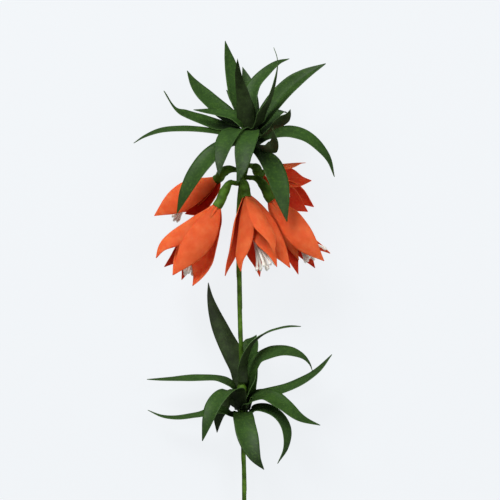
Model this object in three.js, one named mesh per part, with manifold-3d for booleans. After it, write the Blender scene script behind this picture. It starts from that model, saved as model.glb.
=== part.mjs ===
// A handmade paper crown imperial (Fritillaria imperialis), laid on its back as a cut stem lies.
//
// The flower is drawn standing in its own frame and laid down at the end:
//   x to the flower's right, y up along the stem from its cut end, z towards the front. Millimetres.
// A direction round the stem is an angle in degrees: 0 right, 90 front, 180 left, 270 back.
import * as THREE from "three";
import { mergeVertices } from "three/addons/utils/BufferGeometryUtils.js";
import Module from "manifold-3d";

const wasm = await Module();
wasm.setup();

// Driving dimensions
const GAP = 0.3; // air between neighbouring pieces
const PAPER = 0.6; // thickness of leaves and petals
const WIRE_RADIUS = 0.8; // stem wire
const STEM_RADIUS = 1.75; // wire with its tape, below the blooms
const STEM_TOP_RADIUS = 2.2; // more turns of tape where the blooms are bound on
const CROWN_RADIUS = 2.8; // and still more where the crown's leaves are
const STEM_TOP = 381; // end of the stem inside the crown
const STEM_STEPS = 20;
const BINDING_RADIUS = 2.8; // the extra tape that holds the whorl's leaves
const BINDING_LOW = 143;
const BINDING_HEIGHT = 38;
const PEDICEL_RADIUS = 2; // a bloom's stalk near the stem
const CAP_RADIUS = 3.8; // and where it swells onto the bell
const ROOT_RADIUS = 3.4; // pinched leaf roots stand round the stem at this distance
const ROOT_WIDTH = 1.7; // a leaf's width where it is pinched
const KNEE_OUT = 1.5; // a leaf's root rises this far out and up before it leaves the stem
const KNEE_UP = 4;
const LEAF_ROLL = 0.5; // radians that a leaf is rolled to either side of its midrib
const PETAL_ROLL = 0.75;
const NECK_DOWN = 1.1; // a petal's neck is this far below the stalk's end
const NECK_OUT = 1.4; // and this far from the bell's axis
const SEAT_RADIUS = 3.2; // the small collar that a bell's petals meet in
const SEAT_LENGTH = 1.4;
const STALK_START_RADIUS = 1.2; // a bloom's stalk where it springs from the stem
const STAMEN_GAP = 2.1; // from the stalk's end to the stamens' root
const FILAMENT_RADIUS = 0.45;
const STYLE_RADIUS = 0.55;
const ANTHER_RADIUS = 0.9;
const ANTHER_HALF = 1.3; // half the length of an anther
const LEAN = 7.66; // degrees: the head rests on two bells, so the stem slopes to its cut end

const DARK_GREEN = "#3d5a30";
const TAPE_GREEN = "#4b7323";
const CORAL = "#dd5a30";
const IVORY = "#ece9dc";

// The stem's centreline, from the cut end to the crown.
const STEM_PATH = [
  [4, 0, 0],
  [3.5, 80, 0],
  [2.9, 114, 0],
  [1.6, 168, 0],
  [0.5, 210, 0],
  [-0.6, 254, 0],
  [-0.6, 308, 0],
  [1.2, 332, 0],
  [5.6, 350, 0],
  [10, STEM_TOP, 0],
];

// Heights on the stem where leaf roots are bound, lowest first.
const WHORL_TIERS = [144, 148, 152, 160, 173];
const CROWN_TIERS = [358, 365, 371, 377];

// Each leaf: its tier, the side of the stem it springs from, the points its midrib passes through after
// the root, its width, and the way its upper face looks near the root and at the tip.
const CROWN_LEAVES = [
  { tier: 0, side: -8, width: 16, up: [[0.1, 0.8, 0.5], [0.8, 0.3, 0.5]],
    rib: [[21, 370, 3], [31, 373, 5.5], [40, 373.6, 7], [52.5, 370, 8], [63.5, 361.5, 8],
      [71, 352, 6.5], [75.5, 338.5, 5]] },
  { tier: 0, side: 45, width: 18.5, up: [[0.3, 0.7, 0.6], [0.2, 0.1, 1]],
    rib: [[16.5, 357.5, 11], [24, 349, 21.5], [30, 335.5, 29.5], [34, 320, 32.5], [37.5, 302.5, 32]] },
  { tier: 0, side: 95, width: 18, up: [[0, 1, 0.2], [-0.1, 0.2, 1]],
    rib: [[8.5, 374.5, 15], [5.4, 367, 27], [2.9, 356, 37], [1, 344, 44], [-2.6, 332.4, 49.5]] },
  { tier: 1, side: 128, width: 18, up: [[-0.2, 1, 0.2], [-0.3, 0.2, 0.9]],
    rib: [[1.4, 376.3, 9.5], [-4.6, 374.5, 18], [-9.6, 369, 27.5], [-13.6, 360.5, 35], [-15.8, 351, 41],
      [-17, 339, 46.5]] },
  { tier: 0, side: 168, width: 18.5, up: [[-0.2, 0.9, 0.5], [-0.4, 0.3, 0.85]],
    rib: [[-2, 366, 7.5], [-13, 363, 11], [-23, 355, 12.5], [-34.5, 341.5, 13], [-44, 325.5, 11],
      [-50.5, 309, 8]] },
  { tier: 1, side: 180, width: 15, up: [[0, 0.95, 0.3], [-0.3, 0.85, 0.35]],
    rib: [[-9.5, 372, 1.5], [-29, 375, 3], [-46.5, 376, 4], [-64, 375, 4], [-77, 370.5, 2.5],
      [-85, 365.5, 0]] },
  { tier: 1, side: 44, width: 13, up: [[0.75, 0.6, -0.25], [0.2, 0.1, -0.97]],
    rib: [[14.4, 362.4, 14], [20.8, 362, 30], [26.4, 362.6, 44], [28, 366.8, 52], [26.8, 372, 56],
      [26.1, 376, 58]] },
  { tier: 2, side: 31, width: 13, up: [[-0.6, 0.7, -0.5], [-0.8, 0.3, -0.6]],
    rib: [[19, 375, 9.6], [25, 378, 21.5], [33, 382.5, 33.5], [36.5, 387, 38.5], [40, 392, 41.5]] },
  { tier: 1, side: -45, width: 17, up: [[-0.3, 0.7, 0.65], [-0.3, 0.7, 0.65]],
    rib: [[20, 380, -10], [27, 388, -20], [33.5, 391.5, -30], [38.5, 391, -39]] },
  { tier: 2, side: 160, width: 13, up: [[0.1, 0.85, 0.5], [0.1, 0.85, 0.5]],
    rib: [[1.5, 381.5, 5.5], [-4.8, 386.5, 5], [-14.4, 389, 4], [-25.6, 390.8, 3], [-37.2, 392.2, 1]] },
  { tier: 1, side: 212, width: 16, up: [[0.1, 0.85, 0.5], [0.6, 0.6, 0.5]],
    rib: [[-6.5, 377, -5.5], [-17.5, 379, -8], [-30.5, 383.5, -9.5], [-43, 388.5, -10.5],
      [-51.5, 393, -10.5], [-61, 407.5, -8]] },
  { tier: 2, side: 262, width: 13, up: [[0, 0.5, 0.8], [0, 0.5, 0.8]],
    rib: [[7.5, 385, -14], [1.5, 395, -26], [-6, 402.5, -35], [-11, 408.5, -41]] },
  { tier: 2, side: -2, width: 16, up: [[-0.45, 0.55, 1], [-0.45, 0.55, 1]],
    rib: [[19, 385.5, 1.5], [29.5, 400, 3.5], [41.5, 411, 5.5], [54.5, 421, 7.5], [68.5, 429, 8]] },
  { tier: 3, side: 48, width: 11, up: [[-0.8, 0.3, -0.5], [-1, 0.1, 0]],
    rib: [[16, 381, 9], [19.6, 390.4, 13], [23.4, 397.6, 17], [26.4, 406.4, 21.5], [28.6, 416, 26.5],
      [30, 427, 31], [29.6, 433.6, 33], [26.9, 441.4, 35]] },
  { tier: 3, side: 192, width: 16.5, up: [[0.4, 0.45, 0.8], [0.4, 0.45, 0.8]],
    rib: [[-2.5, 382, -4], [-13, 389.5, -9], [-21, 396.5, -14], [-30.2, 405.5, -21], [-37.5, 415, -29],
      [-42.5, 424, -35]] },
  { tier: 3, side: 240, width: 15.5, up: [[0.45, 0.2, 0.85], [0.45, 0.2, 0.85]],
    rib: [[2.5, 388, -7], [-3, 404, -15], [-7, 425.5, -27], [-12, 448, -40]] },
  { tier: 3, side: 278, width: 14, up: [[0, 0.3, 0.9], [0, 0.3, 0.9]],
    rib: [[9, 389, -14], [7, 406, -26], [4.5, 419, -35], [2, 427, -41]] },
  { tier: 3, side: 318, width: 13.5, up: [[-0.45, 0.55, 0.7], [-0.45, 0.55, 0.7]],
    rib: [[9.5, 390.4, -5], [8.5, 400, -7.4], [11.5, 411.2, -11], [20, 421.5, -14.5],
      [30.5, 430.3, -19], [39.5, 433.4, -24]] },
  { tier: 3, side: 95, width: 13, up: [[0, 0.6, -0.8], [0, 0.6, -0.8]],
    rib: [[5.6, 382, 6], [4.6, 391, 9], [2.4, 403, 14], [-1, 417.6, 24], [-2, 432.4, 41]] },
];
const WHORL_LEAVES = [
  { tier: 0, side: 20, width: 12.5, up: [[0.2, 0.9, 0.35], [0.85, -0.1, 0.45]],
    rib: [[7.5, 150, 6], [12.8, 153.4, 9], [19.2, 153.4, 12], [25.6, 151, 14], [31.7, 146, 16.5],
      [35.8, 139.2, 18], [37.3, 131.2, 19], [36, 120.8, 18.5], [30, 109.4, 17]] },
  { tier: 0, side: 85, width: 18.5, up: [[0, 1, 0.3], [0, 0.3, 0.95]],
    rib: [[2.4, 150.4, 11], [3.6, 145.5, 20], [6, 134, 31], [9, 123.4, 38], [13, 113.4, 42.5],
      [19.2, 105, 45]] },
  { tier: 3, side: 130, width: 16.5, up: [[-0.2, 1, 0.2], [-0.4, 0.2, 0.9]],
    rib: [[-4.5, 168.5, 9], [-10, 168, 18], [-16, 163, 26], [-21, 155.5, 31], [-26, 142.5, 35],
      [-30, 127.7, 35]] },
  { tier: 0, side: 165, width: 14, up: [[-0.1, 0.7, 0.65], [0, 0.97, 0.2]],
    rib: [[-7, 149, 7], [-13, 151.2, 11], [-20, 151.4, 12], [-30, 149.2, 9], [-38, 147.3, 5],
      [-50.4, 145.7, 1], [-62.5, 147, -3], [-73.8, 151.8, -5]] },
  { tier: 1, side: 185, width: 14, up: [[-0.1, 0.8, -0.5], [-0.9, 0.2, -0.5]],
    rib: [[-7.2, 158, 2], [-10.3, 157.5, 2], [-12.8, 151, 1], [-16, 142.6, -1], [-18.4, 133.9, -4]] },
  { tier: 1, side: 12, width: 15, up: [[-0.3, 0.9, 0.35], [-0.3, 0.9, 0.35]],
    rib: [[9.5, 163.5, 1.5], [17.6, 164.4, 5], [31, 167, 7], [47, 173.5, 8], [61, 183, 7],
      [73.5, 196.5, 5]] },
  { tier: 2, side: 48, width: 16, up: [[0.1, 0.8, 0.6], [0.1, 0.8, 0.6]],
    rib: [[6, 158, 9.5], [12.5, 164.3, 14.5], [22, 163.8, 20], [34, 156.5, 27], [48, 146, 31],
      [64, 140.3, 32]] },
  { tier: 3, side: 190, width: 13.5, up: [[0, 0.95, 0.3], [0, 0.95, 0.3]],
    rib: [[-6, 171, 1], [-11, 174.3, 0], [-18, 176.3, -2], [-33.5, 176.5, -3], [-54.5, 176.3, -3],
      [-74.5, 176.5, -2.5]] },
  { tier: 1, side: 262, width: 16.5, up: [[0, -0.1, -1], [-0.5, -0.1, -0.85]],
    rib: [[1, 168, -4.3], [0, 184, -5.2], [-5.4, 196.8, -7], [-13.4, 212.8, -10], [-20, 228.8, -11.5],
      [-24, 242.4, -12], [-25.4, 253.8, -11]] },
  { tier: 2, side: 296, width: 16, up: [[0, 0.3, 0.95], [-0.5, 0.85, 0.1]],
    rib: [[5, 168, -9.8], [6, 186, -12.4], [8.5, 201, -14.5], [9.5, 208.5, -18.5], [12, 204, -25]] },
  { tier: 4, side: 70, width: 12, up: [[-0.6, 0.7, -0.5], [-0.35, 0.85, 0.4]],
    rib: [[2.6, 187, 6], [6.6, 198, 7], [11.5, 206, 7], [20, 212.8, 6.5], [31.2, 217, 6],
      [40, 218.9, 5.5], [48.8, 218.9, 5]] },
  { tier: 3, side: 352, width: 17, up: [[-0.4, 0.8, 0.45], [0.5, 0.75, 0.35]],
    rib: [[7.2, 170, 0.5], [10, 183, 0.5], [16, 191.5, 2], [24, 196.6, 5], [35, 199, 6.5],
      [44, 198, 6.5], [51.2, 194, 6.5], [56, 188.6, 6], [57.8, 183.5, 5]] },
];

// Each bloom: where its stalk leaves the stem, where its stamens reach and how far they fan out, the
// points that the stalk passes through down to the bell, and its six petals. A petal is its width, the
// way that its hollow face looks, and the points that its midrib passes through after the neck.
const BLOOMS = [
  { height: 343.5, side: 195, stamens: [-51.5, 302.5, -28], spread: 3.5,
    stalk: [[-9, 344.5, -6.5], [-14.5, 341.5, -10.5], [-19.5, 336, -14.5]],
    petals: [
      { width: 23.5, hollow: [0.25, -0.1, -1],
        rib: [[-26.8, 332.7, -8], [-39.3, 327, -5], [-51.5, 319.4, -7], [-68.6, 307.4, -16]] },
      { width: 22, hollow: [-0.6, 0.5, -0.6],
        rib: [[-19.8, 329.6, -14], [-25.5, 320, -18], [-32, 313.5, -20], [-44, 309, -22]] },
      { width: 22, hollow: [0.2, -0.9, 0.3], rib: [[-26, 337, -20], [-41, 330, -28], [-60, 316, -38]] },
      { width: 20, hollow: [0.3, -0.8, -0.4], rib: [[-27, 335, -15], [-42, 327, -18], [-61, 316.5, -27]] },
      { width: 20, hollow: [0.1, 0.3, 0.9], rib: [[-24, 330, -22], [-38, 319, -37], [-53, 311, -43]] },
      { width: 20, hollow: [0, 0.7, 0.6], rib: [[-22, 329, -21], [-34, 317, -32], [-48, 310.5, -37]] },
    ] },
  { height: 333, side: 165, stamens: [-43.5, 261.5, 12.5], spread: 4.5,
    stalk: [[-8, 333.5, 6.5], [-13, 325.5, 10.5], [-18.5, 314.5, 13.5]],
    petals: [
      { width: 24.5, hollow: [0.1, 0.1, -1],
        rib: [[-23.4, 303.8, 22], [-29.4, 293.2, 29], [-38.8, 280, 32], [-52.9, 260.2, 31]] },
      { width: 24, hollow: [0.55, -0.45, -0.6],
        rib: [[-28, 308.5, 17], [-38.6, 301.1, 18], [-55, 289.6, 18], [-62.6, 282.3, 18],
          [-66.9, 273.6, 17]] },
      { width: 25, hollow: [-0.5, 0.2, 0.85],
        rib: [[-19, 304, 9], [-22.4, 297, 7], [-27.6, 282.4, 4], [-30, 269.6, 6], [-33.2, 260, 10],
          [-37.8, 251.4, 15]] },
      { width: 20, hollow: [0.5, -0.1, 0.85],
        rib: [[-25, 304, 7], [-41, 287, 2], [-51, 275, 3], [-60.5, 266.5, 6]] },
      { width: 20, hollow: [0.3, 0, 0.95], rib: [[-23, 303, 6], [-36, 282, 0], [-46.6, 256.2, 7]] },
      { width: 20, hollow: [0.5, 0, -0.85],
        rib: [[-26, 305, 17], [-41, 286, 18.5], [-48.5, 272, 20], [-53.6, 259.9, 24]] },
    ] },
  { height: 332, side: 80, stamens: [20.5, 265, 24], spread: 6.5,
    stalk: [[3, 334, 9.5], [4, 329.5, 13], [5.2, 322, 13.5]],
    petals: [
      { width: 23, hollow: [-0.65, -0.3, -0.7],
        rib: [[9, 318, 21], [13, 309.6, 29], [16.8, 300, 36], [20.8, 293.6, 40], [24.6, 287, 43],
          [27.4, 279.2, 45]] },
      { width: 22.5, hollow: [-0.4, -0.1, -0.9],
        rib: [[11, 316, 17], [20, 301.3, 22], [27.4, 287, 25], [33.8, 276, 27], [40, 265.7, 29]] },
      { width: 22, hollow: [0.95, 0.1, 0.1],
        rib: [[1, 313, 14], [-2, 302.4, 14], [-4.4, 288, 13.5], [-6.8, 275.2, 13], [-11.7, 259.2, 14]] },
      { width: 25, hollow: [0.75, 0.1, -0.65],
        rib: [[3.8, 313, 20], [4, 296, 27], [2.6, 282.4, 30], [0.4, 272.8, 31], [0.8, 262.9, 32]] },
      { width: 16, hollow: [-0.3, -0.6, -0.7],
        rib: [[8, 314, 19], [12.8, 300, 25], [19.2, 288, 30], [25.6, 277.6, 34], [29.4, 266.4, 36]] },
      { width: 16, hollow: [0.1, 0.1, 1],
        rib: [[6, 312, 9], [8.6, 292, 6], [9.8, 284, 5], [11.4, 276.8, 6], [13.6, 270.4, 7],
          [15.9, 258.6, 9]] },
    ] },
  { height: 338, side: 20, stamens: [58.5, 273.5, 4], spread: 8,
    stalk: [[13, 337.2, 4.8], [19, 331.5, 6.5], [25, 320, 8]],
    petals: [
      { width: 22.5, hollow: [-0.2, 0.1, -1],
        rib: [[32.3, 311.5, 13], [39.5, 304.2, 18], [46, 295, 21], [51.4, 287.9, 22], [58.9, 279.6, 20],
          [67.1, 271.2, 16]] },
      { width: 20, hollow: [-0.6, -0.5, 0.6],
        rib: [[31, 312, 4], [43, 300, -3], [57, 287.5, -4], [72.2, 277.3, -3]] },
      { width: 16, hollow: [0.3, 0.2, 0.9],
        rib: [[28, 311, 5], [33.6, 299, 1], [38.4, 284, -2], [43.2, 270.4, 0], [46.6, 260.5, 4]] },
      { width: 18, hollow: [-0.1, 0.2, 0.97],
        rib: [[31, 310, 3], [40, 299, -4], [48, 284, -7], [55.2, 272.8, -6], [60, 265.6, -2]] },
      { width: 20, hollow: [-0.3, 0, 0.9], rib: [[31, 312, 2], [48, 294, -12], [60, 279, -13]] },
      { width: 20, hollow: [0.5, 0.3, -0.5],
        rib: [[26, 311, 9], [33, 296, 9], [40, 284, 8], [47, 272, 4]] },
    ] },
  { height: 347.5, side: -42, stamens: [38, 323, -19], spread: 2,
    stalk: [[9, 347.5, -4.5], [13, 345.5, -7.5], [18, 340.5, -11]],
    petals: [
      { width: 20, hollow: [0, -0.95, 0.25],
        rib: [[24, 345, -13.5], [33, 347.2, -21], [44.8, 348.6, -28], [52.6, 350, -32]] },
      { width: 20, hollow: [0, -0.2, 0.95],
        rib: [[23, 342, -16], [36, 340, -25], [48, 337.4, -28], [57.4, 335.7, -28]] },
      { width: 22, hollow: [-0.2, 0.3, 0.9],
        rib: [[21, 337, -17], [34, 330, -29], [48, 323, -32], [59.2, 314.6, -30]] },
      { width: 22, hollow: [-0.2, 0.5, 0.85],
        rib: [[22, 335.5, -16], [29, 327, -21.5], [42, 318.5, -25], [54.4, 310.8, -24]] },
      { width: 20, hollow: [0.4, 0.4, -0.7],
        rib: [[18.5, 334, -8], [23, 328, -1], [30, 321, 3], [37.6, 315.2, 3]] },
      { width: 20, hollow: [-0.3, 0, 0.9], rib: [[22, 338, -18], [38, 330, -38], [52, 327, -45.3]] },
    ] },
];

const vec = ([x, y, z]) => new THREE.Vector3(x, y, z);
const smooth = (points) => new THREE.CatmullRomCurve3(points, false, "centripetal");
const stem = smooth(STEM_PATH.map(vec));

/** The point of the stem's centreline at a height. */
function stemAt(height) {
  let low = 0;
  let high = 1;
  for (let i = 0; i < 30; i++) {
    const middle = (low + high) / 2;
    if (stem.getPoint(middle).y < height) low = middle;
    else high = middle;
  }
  return stem.getPoint(low);
}

/** The horizontal direction at an angle round the stem. */
function sideways(degrees) {
  const a = THREE.MathUtils.degToRad(degrees);
  return new THREE.Vector3(Math.cos(a), 0, Math.sin(a));
}

function geometryOf(points, faces) {
  const g = new THREE.BufferGeometry();
  g.setAttribute("position", new THREE.Float32BufferAttribute(points.flatMap((p) => p.toArray()), 3));
  g.setIndex(faces.flat());
  return g;
}

/**
 * A round bar along a curve in a number of steps, closed at both ends. A bored one is open at its start,
 * and last stops a bar early, at one of the steps.
 */
function tube(curve, radiusAt, steps, sides, { bore = 0, last = steps } = {}) {
  const frames = curve.computeFrenetFrames(steps, false);
  const points = [];
  const ring = (i, radius) => {
    const centre = curve.getPointAt(i / steps);
    for (let k = 0; k < sides; k++) {
      const a = (2 * Math.PI * k) / sides;
      points.push(
        centre
          .clone()
          .addScaledVector(frames.normals[i], radius * Math.cos(a))
          .addScaledVector(frames.binormals[i], radius * Math.sin(a)),
      );
    }
  };
  for (let i = 0; i <= last; i++) ring(i, radiusAt(i / steps));
  if (bore) for (let i = last - 1; i >= 0; i--) ring(i, bore);
  const rings = points.length / sides;
  const faces = [];
  for (let i = 0; i < (bore ? rings : rings - 1); i++) {
    if (bore && i === last) continue;
    const a = i * sides;
    const b = ((i + 1) % rings) * sides;
    for (let k = 0; k < sides; k++) {
      const n = (k + 1) % sides;
      faces.push([a + k, a + n, b + n], [a + k, b + n, b + k]);
    }
  }
  const cap = (first, turned) => {
    for (let k = 1; k + 1 < sides; k++)
      faces.push(turned ? [first, first + k + 1, first + k] : [first, first + k, first + k + 1]);
  };
  if (bore) {
    cap(last * sides, false);
    cap((last + 1) * sides, true);
  } else {
    cap(0, true);
    cap((rings - 1) * sides, false);
  }
  return geometryOf(points, faces);
}

/** A short straight collar, open at both ends. */
function sleeve(line, radius, bore, sides) {
  const outside = solidOf(tube(line, () => radius, 1, sides));
  const along = line.v2.clone().sub(line.v1);
  const hole = new THREE.LineCurve3(
    line.v1.clone().addScaledVector(along, -0.1),
    line.v2.clone().addScaledVector(along, 0.1),
  );
  return geometryFrom(outside.subtract(solidOf(tube(hole, () => bore, 1, sides))));
}

/** How wide a leaf or petal is along its length, as a share of its greatest width. */
function taper(u, root, widest, swell, point) {
  if (u < widest) return root + (1 - root) * Math.sin((Math.PI / 2) * (u / widest)) ** swell;
  return Math.max(1 - ((u - widest) / (1 - widest)) ** point, 0.03);
}

/**
 * A sheet of paper along a midrib. widthAt gives its half width and upAt the way its hollow face looks;
 * the sheet is rolled across its width by bend radians at its widest.
 */
function sheet({ rib, halfWidthAt, upAt, bend, steps, cells }) {
  const points = [];
  const widest = Math.max(...Array.from({ length: steps + 1 }, (_, i) => halfWidthAt(i / steps)));
  for (let i = 0; i <= steps; i++) {
    const u = i / steps;
    const along = rib.getTangentAt(u);
    const side = new THREE.Vector3().crossVectors(along, upAt(u)).normalize();
    const up = new THREE.Vector3().crossVectors(side, along).normalize();
    const half = halfWidthAt(u);
    const roll = Math.max((bend * half) / widest, 1e-3);
    for (let j = 0; j <= cells; j++) {
      const angle = roll * ((2 * j) / cells - 1);
      const radius = half / roll;
      const out = up.clone().multiplyScalar(Math.cos(angle)).addScaledVector(side, -Math.sin(angle));
      const middle = rib
        .getPointAt(u)
        .addScaledVector(side, radius * Math.sin(angle))
        .addScaledVector(up, radius * (1 - Math.cos(angle)));
      points.push(middle.clone().addScaledVector(out, PAPER / 2));
      points.push(middle.addScaledVector(out, -PAPER / 2));
    }
  }
  const at = (i, j, lower) => 2 * (i * (cells + 1) + j) + lower;
  const faces = [];
  const quad = (a, b, c, d) => faces.push([a, b, c], [a, c, d]);
  for (let i = 0; i < steps; i++) {
    for (let j = 0; j < cells; j++) {
      quad(at(i, j, 0), at(i, j + 1, 0), at(i + 1, j + 1, 0), at(i + 1, j, 0));
      faces.push([at(i, j, 1), at(i + 1, j + 1, 1), at(i, j + 1, 1)]);
      faces.push([at(i, j, 1), at(i + 1, j, 1), at(i + 1, j + 1, 1)]);
    }
    quad(at(i, 0, 1), at(i, 0, 0), at(i + 1, 0, 0), at(i + 1, 0, 1));
    quad(at(i, cells, 0), at(i, cells, 1), at(i + 1, cells, 1), at(i + 1, cells, 0));
  }
  for (let j = 0; j < cells; j++) {
    quad(at(0, j, 1), at(0, j + 1, 1), at(0, j + 1, 0), at(0, j, 0));
    quad(at(steps, j, 0), at(steps, j + 1, 0), at(steps, j + 1, 1), at(steps, j, 1));
  }
  return geometryOf(points, faces);
}

/** A leaf bound to the stem at a height. Its root stands up along the stem before it turns out. */
function leaf({ side, width, up, rib }, height) {
  const out = sideways(side);
  const centre = stemAt(height);
  const root = centre.clone().addScaledVector(out, ROOT_RADIUS);
  const knee = centre.clone().addScaledVector(out, ROOT_RADIUS + KNEE_OUT);
  knee.y += KNEE_UP;
  const curve = smooth([root, knee, ...rib.map(vec)]);
  const inward = out.clone().negate();
  const [near, far] = up.map(vec);
  const upAt = (u) =>
    u < 0.2 ? inward.clone().lerp(near, u / 0.2) : near.clone().lerp(far, (u - 0.2) / 0.8);
  const halfWidthAt = (u) => (width / 2) * taper(u, ROOT_WIDTH / width, 0.4, 1.5, 2.3);
  return sheet({ rib: curve, halfWidthAt, upAt, bend: LEAF_ROLL, steps: 9, cells: 2 });
}

/** The axis of a bell, from its stalk's end towards the middle of its petal tips. */
function bellFrame({ stalk, petals }) {
  const top = vec(stalk.at(-1));
  const middle = new THREE.Vector3();
  for (const { rib } of petals) middle.addScaledVector(vec(rib.at(-1)), 1 / petals.length);
  return { top, axis: middle.sub(top).normalize() };
}

/** One petal of a bell, from its neck under the stalk's end over its belly to its tip. */
function petal({ top, axis }, { width, hollow, rib }) {
  const inward = vec(hollow);
  const out = inward.clone().addScaledVector(axis, -inward.dot(axis)).normalize().negate();
  const neck = top.clone().addScaledVector(axis, NECK_DOWN).addScaledVector(out, NECK_OUT);
  const halfWidthAt = (u) => (width / 2) * taper(u, 0.16, 0.5, 1.1, 2);
  const curve = smooth([neck, ...rib.map(vec)]);
  return sheet({ rib: curve, halfWidthAt, upAt: () => inward, bend: PETAL_ROLL, steps: 6, cells: 3 });
}

function solidOf(geometry) {
  const merged = mergeVertices(geometry, 1e-4);
  return new wasm.Manifold(
    new wasm.Mesh({
      numProp: 3,
      vertProperties: merged.attributes.position.array,
      triVerts: new Uint32Array(merged.index.array),
    }),
  );
}

function geometryFrom(solid) {
  const made = solid.getMesh();
  const g = new THREE.BufferGeometry();
  g.setAttribute("position", new THREE.BufferAttribute(made.vertProperties, 3));
  g.setIndex(new THREE.BufferAttribute(made.triVerts, 1));
  return g;
}

function fuse(geometries) {
  return geometryFrom(geometries.map(solidOf).reduce((a, b) => a.add(b)));
}

/** A bell: six petals joined round a collar under its stalk. */
function bell(bloom) {
  const frame = bellFrame(bloom);
  const start = frame.top.clone().addScaledVector(frame.axis, GAP);
  const seat = new THREE.LineCurve3(start, start.clone().addScaledVector(frame.axis, SEAT_LENGTH));
  const pieces = [tube(seat, () => SEAT_RADIUS, 1, 10)];
  for (const one of bloom.petals) pieces.push(petal(frame, one));
  return fuse(pieces);
}

/** Six filaments with anthers round a longer style, joined at their root. */
function stamens(bloom) {
  const { top, axis } = bellFrame(bloom);
  const root = top.clone().addScaledVector(axis, STAMEN_GAP);
  const reach = vec(bloom.stamens).sub(root);
  const right = new THREE.Vector3(axis.z, 0, -axis.x).cross(reach).cross(reach).normalize();
  const away = new THREE.Vector3().crossVectors(right, reach).normalize();
  const base = root.clone().addScaledVector(axis, 0.6);
  const foot = new THREE.LineCurve3(root, root.clone().addScaledVector(axis, 2));
  const pieces = [tube(foot, () => 2 * STYLE_RADIUS, 1, 6)];
  for (let k = 0; k < 6; k++) {
    const a = (2 * Math.PI * (k + 0.3)) / 6;
    const aside = right.clone().multiplyScalar(Math.cos(a)).addScaledVector(away, Math.sin(a));
    const tip = root.clone().addScaledVector(reach, 0.94).addScaledVector(aside, bloom.spread);
    const bend = root.clone().addScaledVector(axis, 0.45 * reach.length()).addScaledVector(aside, 1.6);
    pieces.push(tube(smooth([base, bend, tip]), () => FILAMENT_RADIUS, 2, 4));
    const half = tip.clone().sub(bend).setLength(ANTHER_HALF);
    const anther = new THREE.LineCurve3(tip.clone().sub(half), tip.clone().add(half));
    pieces.push(tube(anther, () => ANTHER_RADIUS, 1, 4));
  }
  const bow = root.clone().addScaledVector(axis, 0.5 * reach.length());
  pieces.push(tube(smooth([base, bow, root.clone().add(reach)]), () => STYLE_RADIUS, 2, 4));
  return fuse(pieces);
}

/** A bloom's stalk: slender at the stem, and swelling onto the bell. */
function stalk(bloom) {
  const start = stemAt(bloom.height).addScaledVector(sideways(bloom.side), STEM_TOP_RADIUS + 2 * GAP);
  const { top, axis } = bellFrame(bloom);
  const neck = top.clone().addScaledVector(axis, -4);
  const radiusAt = (u) =>
    STALK_START_RADIUS +
    (PEDICEL_RADIUS - STALK_START_RADIUS) * Math.min(u / 0.25, 1) +
    (CAP_RADIUS - PEDICEL_RADIUS) * THREE.MathUtils.smoothstep(u, 0.45, 1);
  return tube(smooth([start, ...bloom.stalk.slice(0, -1).map(vec), neck, top]), radiusAt, 8, 10);
}

const paint = {
  leaf: { color: DARK_GREEN, roughness: 0.85, metalness: 0 },
  tape: { color: TAPE_GREEN, roughness: 0.6, metalness: 0 },
  petal: { color: CORAL, roughness: 0.8, metalness: 0 },
  stamen: { color: IVORY, roughness: 0.85, metalness: 0 },
  wire: { color: "#8c8f92", roughness: 0.35, metalness: 1 },
};
const flower = new THREE.Group();
function add(name, geometry, look) {
  const mesh = new THREE.Mesh(geometry, new THREE.MeshStandardMaterial(look));
  mesh.name = name;
  flower.add(mesh);
}

// Stem
const stemRadius = (u) =>
  STEM_RADIUS +
  (STEM_TOP_RADIUS - STEM_RADIUS) * THREE.MathUtils.smoothstep(u, 0.5, 0.85) +
  (CROWN_RADIUS - STEM_TOP_RADIUS) * THREE.MathUtils.smoothstep(u, 0.9, 0.94);
add("stem_tape", tube(stem, stemRadius, STEM_STEPS, 9, { bore: WIRE_RADIUS + GAP }), paint.tape);
add("stem_wire", tube(stem, () => WIRE_RADIUS, STEM_STEPS, 6, { last: STEM_STEPS - 2 }), paint.wire);
const bindingPath = new THREE.LineCurve3(stemAt(BINDING_LOW), stemAt(BINDING_LOW + BINDING_HEIGHT));
add("whorl_binding", sleeve(bindingPath, BINDING_RADIUS, STEM_RADIUS + GAP, 10), paint.tape);

// Leaves
CROWN_LEAVES.forEach((one, i) => {
  add(`crown_leaf_${String(i + 1).padStart(2, "0")}`, leaf(one, CROWN_TIERS[one.tier]), paint.leaf);
});
WHORL_LEAVES.forEach((one, i) => {
  add(`whorl_leaf_${String(i + 1).padStart(2, "0")}`, leaf(one, WHORL_TIERS[one.tier]), paint.leaf);
});

// Blooms
BLOOMS.forEach((bloom, i) => {
  add(`bloom_stalk_${i + 1}`, stalk(bloom), paint.tape);
  add(`bloom_petals_${i + 1}`, bell(bloom), paint.petal);
  add(`bloom_stamens_${i + 1}`, stamens(bloom), paint.stamen);
});

// Lay the flower on its back: z up, the head raised on two bells and the cut end on the surface.
flower.rotation.x = THREE.MathUtils.degToRad(LEAN);
flower.updateMatrixWorld(true);
const box = new THREE.Box3().setFromObject(flower, true);
const centre = box.getCenter(new THREE.Vector3());
flower.position.set(-centre.x, -centre.y, -box.min.z);

const part = new THREE.Group();
part.add(flower);
export default part;
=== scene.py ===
# %% [markdown]
# # A paper crown imperial, laid on its back
# The flower is handmade. Leaves and petals are cut from coloured card and curled by hand. Its stem and the
# stalks of its bells are wires, wound with green florist's tape. The stamens are strips of ivory paper. The
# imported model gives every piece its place. This script dresses each of them, and leaves their sizes alone.

from functools import partial
from math import cos, pi, radians, sin

import bpy
import numpy as np
from mathutils import Matrix, Vector


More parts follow.
